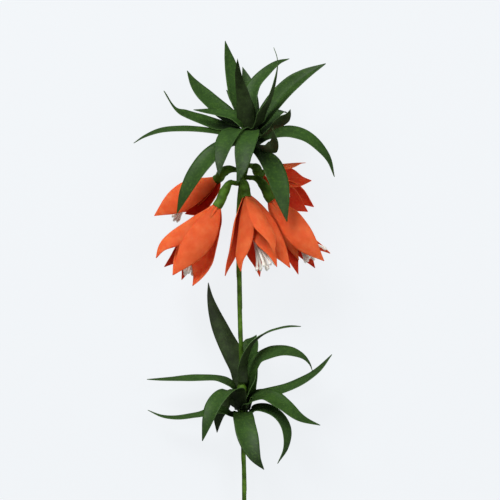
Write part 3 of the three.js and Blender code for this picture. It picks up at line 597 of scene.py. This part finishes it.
# %% Cut the whorl's leaves
LOWEST, LOWER, UPRIGHT, MIDDLE, BOUND = 144, 152, 148, 160, 173
WHORL_LEAVES = [
    (LOWEST, 20, 12.5, (0.2, 0.75, 0.6), (0.85, -0.1, 0.45), [(7.5, 150, 6), (12.8, 153.4, 9),
     (19.2, 153.4, 12), (25.6, 151, 14), (31.7, 146, 16.5), (35.8, 139.2, 18), (37.3, 131.2, 19),
     (36, 120.8, 18.5), (30, 109.4, 17)], {"breadth": [(0, 1.2), (0.2, 1.05), (0.4, 0.9), (0.6, 1)],
     "ShadeReach": 0.1}),
    (LOWEST, 85, 18.5, (0, 1, 0.3), (0, -0.15, 1), [(2.2, 150.4, 11), (2.8, 145.5, 20), (5.2, 134, 30.5),
     (8.6, 123.4, 36.5), (13, 113.4, 39.5), (19.2, 105, 40)], {"breadth": [(0, 1.2), (0.25, 1), (0.4, 0.92),
     (0.6, 1)], "TipShade": 0.7}),
    (LOWER, 130, 17, (-0.2, 1, 0.2), (-0.4, 0.2, 0.9), [(-4.2, 166.6, 9), (-9.5, 167.2, 18),
     (-15.6, 162.6, 26), (-21, 155.5, 31), (-26, 142.5, 35), (-30, 127.7, 35)], {"breadth": [(0, 1.5),
     (0.2, 1.3), (0.35, 1)]}),
    (LOWEST, 165, 10.5, (-0.1, 0.7, 0.65), (0, 0.97, 0.2), [(-6, 148.2, 7), (-13, 151.6, 11),
     (-19.5, 152, 12), (-30, 148.6, 9), (-38, 146.9, 5), (-50.4, 145.6, 1), (-62.5, 147, -3),
     (-73.8, 151.8, -5)]),
    (UPRIGHT, 185, 13.5, (-0.1, 0.8, -0.5), (-0.6, 0.3, -0.75), [(-6.6, 164, 2), (-11, 160, 2),
     (-13.6, 153, 1), (-16.6, 147, 0), (-17.8, 140.6, -2), (-18.4, 133.9, -4)]),
    (UPRIGHT, 12, 18, (-0.3, 0.9, 0.35), None, [(9.5, 163.5, 1.5), (17.6, 164.2, 5), (31, 166.4, 7),
     (47, 172.8, 8), (61, 182.4, 7), (73.5, 196.5, 5)]),
    (LOWER, 48, 16, (0.1, 0.8, 0.6), None, [(7, 158, 9.5), (12.8, 161.8, 14.5), (22, 163.4, 20),
     (34, 156.5, 27), (48, 146, 31), (64, 140.3, 32)]),
    (MIDDLE, 190, 15.5, (0, 0.95, 0.3), None, [(-6, 171, 1), (-11, 174.3, 0), (-18, 176.3, -2),
     (-33.5, 176.5, -3), (-54.5, 176.3, -3), (-74.5, 176.5, -2.5)]),
    (UPRIGHT, 262, 16.5, (0, -0.1, -1), (-0.5, -0.1, -0.85), [(1, 168, -4.3), (0, 184, -5.2),
     (-5.4, 196.8, -7), (-13.4, 212.8, -10), (-20, 228.8, -11.5), (-24, 242.4, -12), (-25.4, 253.8, -11)],
     {"breadth": [(0, 0.7), (0.15, 0.85), (0.3, 1)]}),
    (LOWER, 296, 16, (0, 0.3, 0.95), (-0.5, 0.85, 0.1), [(5, 168, -9.8), (6, 186, -12.4), (8.5, 201, -14.5),
     (9.5, 210, -18.5), (13, 206, -25)], {"breadth": [(0, 1.4), (0.3, 1.1), (0.6, 1.3), (0.8, 1.9), (1, 1.2)],
     "ShadeReach": 0.3, "TipShade": 0.0}),
    (BOUND, 70, 12, (-0.6, 0.7, -0.5), (-0.35, 0.85, 0.4), [(2.6, 187, 6), (6.6, 198, 7), (11.5, 206, 7),
     (20, 212.8, 6.5), (31.2, 217, 6), (40, 218.9, 5.5), (48.8, 218.9, 5)], {"breadth": [(0, 1.3),
     (0.2, 1)]}),
    (MIDDLE, 352, 17, (-0.4, 0.8, 0.45), (0.5, 0.75, 0.35), [(7.2, 170, 0.5), (10, 183, 0.5), (16, 191.5, 2),
     (24, 195.8, 5), (35, 198, 6.5), (44, 197, 6.5), (51.2, 194, 6.5), (56, 188.6, 6), (57.8, 183.5, 5)],
     {"breadth": [(0, 1.3), (0.25, 1), (0.45, 1.25), (0.75, 1.3), (1, 0.6)]}),
]
cut_leaves("whorl", WHORL_LEAVES)

# %% [markdown]
# ## The bells
# A bell hangs from its stalk's end. Its six petals are curled like spoons and glued round the stalk, in two
# layers. The maker bent each of them a little by hand, so no two bells are alike. An entry says how wide a
# petal is, the way its hollow face looks, and the points that its midrib passes through, from its shoulder
# over its belly to its tip. Petals whose insides lie in shade end with a size that gives them painted shade
# all over.

# %% Describe the blooms
# Painted shade over the whole petal, for petals whose insides lie in shade.
SHADED_ALL_OVER = {"ShadeReach": 4.0}
BLOOMS = [
    {"height": 343.5, "side": 195, "stalk": [(-9, 344.5, -6.5), (-14.5, 341.5, -10.5), (-19.5, 336, -14.5)],
     "petals": [
         (23.5, (0.25, -0.1, -1), [(-26.8, 332.7, -8), (-39.3, 327, -5), (-51.5, 319.4, -7),
          (-68.6, 307.4, -16)]),
         (22, (-0.5, 0.5, 0.7), [(-19.8, 329.6, -14), (-25.5, 320, -18), (-32, 313.5, -20), (-44, 309, -22)],
          SHADED_ALL_OVER),
         (22, (0.2, -0.9, 0.3), [(-26, 337, -20), (-41, 330, -28), (-60, 316, -38)]),
         (20, (0.3, -0.8, -0.4), [(-27, 335, -15), (-42, 327, -18), (-61, 316.5, -27)]),
         (20, (0.1, 0.3, 0.9), [(-24, 330, -22), (-38, 319, -37), (-53, 311, -43)]),
         (20, (0, 0.7, 0.6), [(-22, 329, -21), (-34, 317, -32), (-48, 310.5, -37)]),
     ], "stamens": (-52.3, 304.6, -28), "spread": 3.2},
    {"height": 333, "side": 165, "stalk": [(-8, 333.5, 6.5), (-13, 325.5, 10.5), (-18.5, 314.5, 13.5)],
     "petals": [
         (24.5, (0.1, 0.1, -1), [(-23.4, 303.8, 22), (-29.4, 293.2, 29), (-38.8, 280, 32),
          (-52.9, 260.2, 31)]),
         (24, (0.55, -0.45, -0.6), [(-28, 308.5, 17), (-38.6, 301.1, 18), (-55, 289.6, 18),
          (-62.6, 282.3, 18), (-66.9, 273.6, 17)]),
         (22.5, (-0.15, 0.15, 0.95), [(-20.4, 304, 9), (-23.8, 297, 9.5), (-28.4, 282.4, 11),
          (-30.2, 269.6, 14), (-33.2, 260, 18.5), (-37.8, 251.4, 22)], {"ShadeReach": 0.55}),
         (20, (0.5, -0.1, 0.85), [(-25, 304, 7), (-41, 287, 2), (-51, 275, 3), (-60.5, 266.5, 6)], SHADED_ALL_OVER),
         (20, (0.3, 0, 0.95), [(-23, 303, 6), (-36, 282, 0), (-46.6, 256.2, 7)], SHADED_ALL_OVER),
         (20, (0.5, 0, -0.85), [(-26, 305, 17), (-41, 286, 18.5), (-48.5, 272, 20), (-53.6, 259.9, 24)]),
     ], "stamens": (-43.5, 261.5, 12.5), "spread": 4.5},
    {"height": 332, "side": 80, "stalk": [(3, 334, 9.5), (4, 329.5, 13), (5.2, 322, 13.5)],
     "petals": [
         (20.5, (-0.65, -0.3, -0.7), [(10, 318.2, 21), (14.8, 310.8, 29), (19, 301.8, 36), (22.8, 295, 40),
          (25.6, 287.6, 43), (27.2, 277.6, 45)]),
         (22.5, (-0.4, -0.1, -0.9), [(11, 316, 17), (20, 301.3, 22), (27.4, 287, 25), (33.8, 276, 27),
          (40, 265.7, 29)]),
         (22, (0.9, 0.1, 0.35), [(0.4, 313, 14), (-3.4, 302.4, 14), (-6, 288, 13.5), (-8.2, 275.2, 13),
          (-11.9, 259.2, 14)]),
         (22.5, (0.75, 0.1, -0.65), [(2.8, 313, 20), (1.8, 296, 27), (0.6, 282.4, 30), (-0.4, 272.8, 31),
          (0.8, 262.9, 32)]),
         (16, (-0.3, -0.6, -0.7), [(8, 314, 19), (12.8, 300, 25), (19.2, 288, 30), (25.6, 277.6, 34),
          (29.4, 266.4, 36)]),
         (16, (0.1, 0.1, 1), [(6, 312, 9), (8.6, 292, 6), (9.8, 284, 5), (11.4, 276.8, 6), (13.6, 270.4, 7),
          (15.9, 258.6, 9)]),
     ], "stamens": (21.2, 265.3, 27), "spread": 6.8},
    {"height": 338, "side": 20, "stalk": [(13, 337.2, 4.8), (19, 331.5, 6.5), (25, 320, 8)],
     "petals": [
         (22.5, (-0.2, 0.1, -1), [(32.3, 311.5, 13), (39.5, 304.2, 18), (46, 295, 21), (51.4, 287.9, 22),
          (58.9, 279.6, 20), (67.1, 271.2, 16)]),
         (20, (-0.6, -0.5, 0.6), [(31, 312, 4), (43, 300, -3), (57, 287.5, -4), (72.2, 277.3, -3)]),
         (16, (0.3, 0.2, 0.9), [(28, 311, 5), (33.6, 299, 1), (38.4, 284, -2), (43.2, 270.4, 0),
          (46.6, 260.5, 4)], SHADED_ALL_OVER),
         (18, (-0.1, 0.2, 0.97), [(31, 310, 3), (40, 299, -4), (48, 284, -7), (55.2, 272.8, -6),
          (60, 265.6, -2)], SHADED_ALL_OVER),
         (20, (-0.3, 0, 0.9), [(31, 312, 2), (48, 294, -12), (60, 279, -13)]),
         (20, (0.5, 0.3, -0.5), [(26, 311, 9), (33, 296, 9), (40, 284, 8), (47, 272, 4)]),
     ], "stamens": (58.5, 273.5, 4), "spread": 8, "stray": (67.5, 281.5, 3)},
    {"height": 347.5, "side": -42, "stalk": [(9, 347.5, -4.5), (13, 345.5, -7.5), (18, 340.5, -11)],
     "petals": [
         (19, (0, -1, 0), [(24, 346, -13.5), (33, 348.6, -21), (44.8, 349.8, -28), (52.6, 350, -32)]),
         (18, (0, 0.35, 0.9), [(23, 340, -16), (36, 338, -25), (48, 335.4, -28), (57.4, 335.7, -28)]),
         (22, (-0.3, -0.2, 0.9), [(21, 337, -17), (34, 330, -29), (48, 323, -32), (59.2, 314.6, -30)], SHADED_ALL_OVER),
         (22, (-0.2, 0.3, 0.9), [(22, 335.5, -16), (29, 327, -21.5), (42, 318.5, -25), (54.4, 310.8, -24)],
          SHADED_ALL_OVER),
         (20, (0.4, 0.4, -0.7), [(18.5, 334, -8), (23, 328, -1), (30, 321, 3), (37.6, 315.2, 3)]),
         (20, (-0.3, 0, 0.9), [(22, 338, -18), (38, 330, -38), (52, 327, -45.3)]),
     ], "stamens": (38, 323, -19), "spread": 2},
]


def bell_axis(bloom):
    """Where a bell is glued on, and the way it hangs: towards the middle of its petal tips."""
    top = Vector(bloom["stalk"][-1])
    tips = [Vector(rib[-1]) for width, hollow, rib, *_ in bloom["petals"]]
    return top, (sum(tips, Vector()) / len(tips) - top).normalized()


for bloom in BLOOMS:
    top, axis = bell_axis(bloom)
    print("A bell hangs", round((Vector(bloom["stamens"]) - top).length), "mm down to its stamens")

# %% [markdown]
# ## The petals
# The petals use the same blade tree with a rounder outline and a deeper roll. Their glued roots meet in the
# stalk's end.

# %% Cut the petals
GLUED_UP, GLUED_OUT, PETAL_POINTS = 0.6, 1.6, 40
# A petal's painted shade is darkest at its root and fades along it to its tip.
PLAIN_PETAL = {"Roll": 0.75, "Cockle": 0.1, "ShadeReach": 1.6, "Steps": 36, "Rows": 17}


def petal_mesh(top, axis, width, hollow, rib, special=()):
    """One petal, from its glued root over its shoulder and belly to its tip."""
    out = -Vector(hollow)
    out = (out - axis * out.dot(axis)).normalized()
    line = smooth_line([top - axis * GLUED_UP + out * GLUED_OUT, *rib], PETAL_POINTS)
    return run_tree(petal_tree, line,
                    {"facing": [tuple(lay_way(hollow))] * len(line), "breadth": [1.0] * len(line)},
                    Width=width / 1000, Material=petal_card, **{**PLAIN_PETAL, **dict(special)})


for number, bloom in enumerate(BLOOMS, 1):
    meshes = [petal_mesh(*bell_axis(bloom), *petal) for petal in bloom["petals"]]
    place_piece(f"curled_petals_{number}", meshes, [f"bloom_petals_{number}"])
print("Petals on", len(BLOOMS), "bells")

# %% [markdown]
# ## Winding tape
# Tape is wound on at a slant, so each turn climbs on the one before and ends in a low step that runs round
# the wire as a screw thread. The tree below sweeps a ring along the wire and then moves each point out by how
# far across its own turn of tape it lies.

# %% Build the winding tree
LUMPS_PER_M = 260.0


def winding_tree(name):
    """A tree that wraps tape round a line. Each of the line's points carries its radius."""
    sizes = {"Pitch": 0.012, "Step": 0.0003, "Sides": 28, "Lumps": 0.0002, "Start": 0.0}
    tree, given, calc = new_tree(name, sizes)
    wire = ask(tree, "GeometryNodeMeshToCurve", {"Mesh": given["Geometry"]})
    place = add(tree, "GeometryNodeSplineParameter").outputs
    measured = store(tree, wire, "run", place["Length"])
    ring = ask(tree, "GeometryNodeCurvePrimitiveCircle", {"Resolution": given["Sides"], "Radius": 1.0})
    around = store(tree, ring, "round", place["Factor"])
    swept = ask(tree, "GeometryNodeCurveToMesh",
                {"Curve": measured, "Profile Curve": around, "Fill Caps": True,
                 "Scale": read(tree, "radius_m")})
    turns = calc("ADD", calc("DIVIDE", read(tree, "run"), given["Pitch"]),
                 calc("ADD", read(tree, "round"), given["Start"]))
    lap = calc("FRACT", turns)
    marked = store(tree, swept, "lap", lap)
    lump = noise(tree, ask(tree, "GeometryNodeInputPosition"), LUMPS_PER_M, 1.0)
    climb = calc("MULTIPLY", calc("SUBTRACT", 1.0, lap), given["Step"])
    swell = calc("MULTIPLY", calc("SUBTRACT", lump, 0.5), given["Lumps"])
    outward = scaled(tree, ask(tree, "GeometryNodeInputNormal"), calc("ADD", climb, swell))
    wound = ask(tree, "GeometryNodeSetPosition", {"Geometry": marked, "Offset": outward})
    end_tree(tree, given, wound)
    return tree


tape_tree = winding_tree("wound tape")
print("Winding takes", len(tape_tree.nodes), "nodes")

# %% [markdown]
# ## The stem and the stalks
# The stem's tape was pulled on steeply, one turn in about 49 mm, and it is thicker where the bells and the
# crown are bound on. The stalks are wound tightly and padded with more turns towards the bell.

# %% Wind the stem and the stalks
STEM_RADIUS, BELLS_PAD, CROWN_PAD, STEM_PITCH = 1.6, 0.45, 0.6, 49
BELLS_FROM, BELLS_TO, CROWN_FROM, CROWN_TO = 0.5, 0.85, 0.9, 0.94  # shares of the stem's length
STALK_START, STALK_RADIUS, STALK_PAD, STALK_PITCH = 2.2, 1.8, 2.0, 11
STALK_FROM, STALK_TO = 0.15, 0.6  # shares of the stalk's length over which it swells
STALK_NECK = 4  # the length over which a stalk runs straight into the bell
STALK_POINTS = 60
BINDING_RADIUS, BINDING_PAD, BINDING_PITCH = 2.6, 1.0, 9
BINDING_HEIGHTS = np.arange(143, 181.5, 0.5)


def eased(x, low, high):
    """0 below low, 1 above high, and a smooth step between them."""
    t = np.clip((x - low) / (high - low), 0, 1)
    return t * t * (3 - 2 * t)


def wind(name, node, line, radius, pitch, **sizes):
    """Winds tape round a line, with a radius in mm for each of its points."""
    mesh = run_tree(tape_tree, line, {"radius_m": radius / 1000}, Pitch=pitch / 1000,
                    Material=green_tape, **sizes)
    place_piece(name, [mesh], [node])


share = np.linspace(0, 1, STEM_POINTS)
radius = (STEM_RADIUS + BELLS_PAD * eased(share, BELLS_FROM, BELLS_TO)
          + CROWN_PAD * eased(share, CROWN_FROM, CROWN_TO))
wind("wound_stem", "stem_tape", stem_line, radius, STEM_PITCH, Step=0.0004, Start=0.2)

for number, bloom in enumerate(BLOOMS, 1):
    top, axis = bell_axis(bloom)
    start = stem_at(bloom["height"]) + sideways(bloom["side"]) * STALK_START
    line = smooth_line([start, *bloom["stalk"][:-1], top - axis * STALK_NECK, top], STALK_POINTS)
    radius = STALK_RADIUS + STALK_PAD * eased(np.linspace(0, 1, STALK_POINTS), STALK_FROM, STALK_TO)
    wind(f"wound_stalk_{number}", f"bloom_stalk_{number}", line, radius, STALK_PITCH, Lumps=0.0003,
         Start=0.17 * number)

padded = eased(BINDING_HEIGHTS, 161, 164) * (1 - eased(BINDING_HEIGHTS, 170, 172.5))
wind("wound_binding", "whorl_binding", [stem_at(height) for height in BINDING_HEIGHTS],
     BINDING_RADIUS + BINDING_PAD * padded, BINDING_PITCH, Step=0.0004, Lumps=0.0004, Start=0.6)
print("Each turn climbs", STEM_PITCH, "mm on the stem and", STALK_PITCH, "mm on a stalk")

# %% [markdown]
# ## The stamens
# Inside each bell hang six ivory strips round a longer one, each ending in a small folded lump. They are
# alike, so a tree copies one strip round the bell's axis. It keeps them together near the root, splays them
# towards their ends, and puts a lump on each. In the fourth bell one more strip has strayed from the bunch.

# %% Make the stamens
SPLAY = 3.5  # the higher, the closer to their ends the strips part
DENT = 0.7
DENT_SCALE = 2.2


def stamen_tree(name):
    """A tree that fans paper strips round a line, each with a folded lump at its end."""
    sizes = {"Strips": 6, "Strip Radius": 0.00095, "Spread": 0.004, "Right": (1.0, 0.0, 0.0),
             "Front": (0.0, 0.0, 1.0), "Lump Length": 0.0042, "Lump Width": 0.0026, "Seed": 3}
    tree, given, calc = new_tree(name, sizes)
    strip = ask(tree, "GeometryNodeMeshToCurve", {"Mesh": given["Geometry"]})
    copies = add(tree, "GeometryNodeDuplicateElements", {"Geometry": strip, "Amount": given["Strips"]},
                 domain="SPLINE").outputs
    number = copies["Duplicate Index"]
    loose, reach = (add(tree, "FunctionNodeRandomValue", {2: low, 3: high, "ID": number, "Seed": seed},
                        data_type="FLOAT").outputs[1]
                    for low, high, seed in ((-0.35, 0.35, given["Seed"]),
                                            (0.75, 1.15, calc("ADD", given["Seed"], 5))))
    angle = calc("MULTIPLY", calc("ADD", calc("ADD", number, 0.3), loose),
                 calc("DIVIDE", 2 * pi, given["Strips"]))
    along = add(tree, "GeometryNodeSplineParameter").outputs["Factor"]
    away = calc("MULTIPLY", calc("MULTIPLY", given["Spread"], reach), calc("POWER", along, SPLAY))
    right, front = (scaled(tree, given[way], calc("MULTIPLY", away, calc(wave, angle)))
                    for way, wave in (("Right", "COSINE"), ("Front", "SINE")))
    splayed = vectors(tree, "ADD", right, front)
    fanned = ask(tree, "GeometryNodeSetPosition", {"Geometry": copies["Geometry"], "Offset": splayed})
    ring = ask(tree, "GeometryNodeCurvePrimitiveCircle", {"Resolution": 8, "Radius": given["Strip Radius"]})
    strips = ask(tree, "GeometryNodeCurveToMesh", {"Curve": fanned, "Profile Curve": ring, "Fill Caps": True})

    ball = add(tree, "GeometryNodeMeshIcoSphere", {"Radius": 0.5, "Subdivisions": 3}).outputs["Mesh"]
    lumpy = noise(tree, ask(tree, "GeometryNodeInputPosition"), DENT_SCALE, 1.0)
    dent = scaled(tree, ask(tree, "GeometryNodeInputNormal"),
                  calc("MULTIPLY", calc("SUBTRACT", lumpy, 0.5), DENT))
    lump = ask(tree, "GeometryNodeSetPosition", {"Geometry": ball, "Offset": dent})
    wide, long = given["Lump Width"], given["Lump Length"]
    size = ask(tree, "ShaderNodeCombineXYZ", {"X": wide, "Y": wide, "Z": long})
    ends = ask(tree, "GeometryNodeCurveEndpointSelection", {"Start Size": 0, "End Size": 1})
    points = add(tree, "GeometryNodeCurveToPoints", {"Curve": store(tree, fanned, "end", ends, "BOOLEAN")},
                 mode="EVALUATED").outputs
    lumps = ask(tree, "GeometryNodeInstanceOnPoints",
                {"Points": points["Points"], "Selection": read(tree, "end", "BOOLEAN"), "Instance": lump,
                 "Rotation": points["Rotation"], "Scale": size})
    end_tree(tree, given, join(tree, strips, lumps))
    return tree


STAMEN_ROOT = 2.1  # below the stalk's end
SHORTER = 0.96  # the six strips' share of the longer one's length
ON_AXIS = 0.5  # the share of its length over which a strip follows the bell's axis
STRIP_POINTS = 14
strip_tree = stamen_tree("fanned strips")
for number, bloom in enumerate(BLOOMS, 1):
    top, axis = bell_axis(bloom)
    root = top + axis * STAMEN_ROOT
    reach = Vector(bloom["stamens"]) - root
    right = Vector((axis.z, 0, -axis.x)).cross(reach).cross(reach).normalized()
    front = right.cross(reach).normalized()
    fan = {"Spread": bloom["spread"] / 1000, "Right": tuple(lay_way(right)), "Front": tuple(lay_way(front))}
    strips = [(root + reach * SHORTER, {"Strips": 6, "Seed": number, **fan})]
    strips += [(end, {"Strips": 1, "Seed": number + 10, "Spread": 0.0})
               for end in (bloom["stamens"], bloom.get("stray")) if end]
    meshes = [run_tree(strip_tree,
                       smooth_line([root, root + axis * ON_AXIS * reach.length, end], STRIP_POINTS), {},
                       Material=ivory_paper, **sizes)
              for end, sizes in strips]
    place_piece(f"paper_stamens_{number}", meshes, [f"bloom_stamens_{number}"])
print("Stamens in", len(BLOOMS), "bells")

# %% [markdown]
# ## The wire
# Only the cut end of the stem's wire shows. It is bare iron wire, drawn through a die, which leaves fine
# lines along it. Its solid already has the right shape, so it stays and only gets its finish.

# %% Finish the wire
DRAWN_MM = 0.15


def drawn_wire(name, colour):
    """Bare iron wire with fine lines along its length."""
    material, tree, shader = new_material(name)
    place = add(tree, "ShaderNodeTexCoord").outputs["Object"]
    stretched = ask(tree, "ShaderNodeMapping", {"Vector": place, "Scale": (1, 0.02, 1)})
    rough = remap(tree, noise(tree, stretched, 1000 / DRAWN_MM, 2.0), 0.0, 1.0, 0.25, 0.5)
    feed(tree, shader, {"Base Color": linear(colour), "Metallic": 1.0, "Roughness": rough})
    return material


iron_wire = drawn_wire("drawn iron wire", "#8c8f92")
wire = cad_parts["stem_wire"]
wire.data.materials.clear()
wire.data.materials.append(iron_wire)
print("Wire:", iron_wire.name)

# %% [markdown]
# ## The table and the light
# The flower lies on a sheet of opal acrylic that is lit softly from below, as product tables are, so that its
# shadows stay faint. Card is a little glossy, and a bright table would lie on its back as a grey veil, so the
# table is kept out of reflections. A wide soft box hangs beyond its head, to the left, and a weaker one to
# the right. The room is white all round to the eye, and is dimmed as a light, so that the leaves keep their
# deep tones.

# %% Lay the table and hang the lights
TABLE_M = 12
WHITE = "#f4f7fa"
ROOM_LIGHT, ROOM_SEEN = 0.15, 0.93


def opal_table(name, colour, glow):
    """Opal acrylic, matte and lit from below."""
    material, tree, shader = new_material(name)
    feed(tree, shader, {"Base Color": linear("#4a4c4e"), "Roughness": 0.9, "Specular IOR Level": 0.1,
                        "Emission Color": linear(colour), "Emission Strength": glow})
    return material


half = TABLE_M / 2
table_mesh = bpy.data.meshes.new("table")
table_mesh.from_pydata([(-half, -half, 0), (half, -half, 0), (half, half, 0), (-half, half, 0)], [],
                       [(0, 1, 2, 3)])
table_mesh.materials.append(opal_table("opal acrylic", WHITE, 0.9))
table = put("table", table_mesh)
table.visible_glossy = False

world = bpy.data.worlds.new("white room")
world.use_nodes = True
room = world.node_tree
seen = add(room, "ShaderNodeLightPath").outputs["Is Camera Ray"]
strength = remap(room, seen, 0.0, 1.0, ROOM_LIGHT, ROOM_SEEN)
feed(room, room.nodes["Background"], {"Color": linear(WHITE), "Strength": strength})
bpy.context.scene.world = world


def soft_box(name, place, aim, size, power):
    """A square soft light, with its sides in metres and its power in watts."""
    light = bpy.data.lights.new(name, "AREA")
    light.shape, light.size, light.energy = "SQUARE", size, power
    lamp = put(name, light)
    lamp.location = place
    lamp.rotation_euler = (Vector(aim) - Vector(place)).to_track_quat("-Z", "Y").to_euler()


soft_box("key", (-0.85, 1.4, 1.7), (0, 0.05, 0.05), 1.1, 50)
soft_box("fill", (1.2, -0.1, 1.5), (0, 0, 0.05), 1.0, 13)
print("Two soft boxes over a table of", TABLE_M, "m")

# %% [markdown]
# ## The camera
# The camera looks at the flower from far off through a long lens, so that its leaves and bells keep their
# proportions. Its sight is square to the stem, which slopes a little on the table.

# %% Set up the camera
PIXELS, PIXEL_MM = 500, 0.8
PICTURE_MM = PIXELS * PIXEL_MM
MIDDLE_X, MIDDLE_Y = 8, 280
DISTANCE_MM = 9000
SENSOR_MM = 36
camera_data = bpy.data.cameras.new("camera")
camera_data.sensor_width = SENSOR_MM
camera_data.lens = SENSOR_MM * DISTANCE_MM / PICTURE_MM
camera = put("camera", camera_data)
turn = Matrix([lay_way(way) for way in ((1, 0, 0), (0, 1, 0), (0, 0, 1))]).transposed()
camera.matrix_world = Matrix.Translation(lay((MIDDLE_X, MIDDLE_Y, DISTANCE_MM))) @ turn.to_4x4()
scene = bpy.context.scene
scene.camera = camera
scene.view_settings.view_transform = "Standard"
scene.view_settings.look = "None"
print("A lens of", round(camera_data.lens), "mm sees", round(PICTURE_MM), "mm")
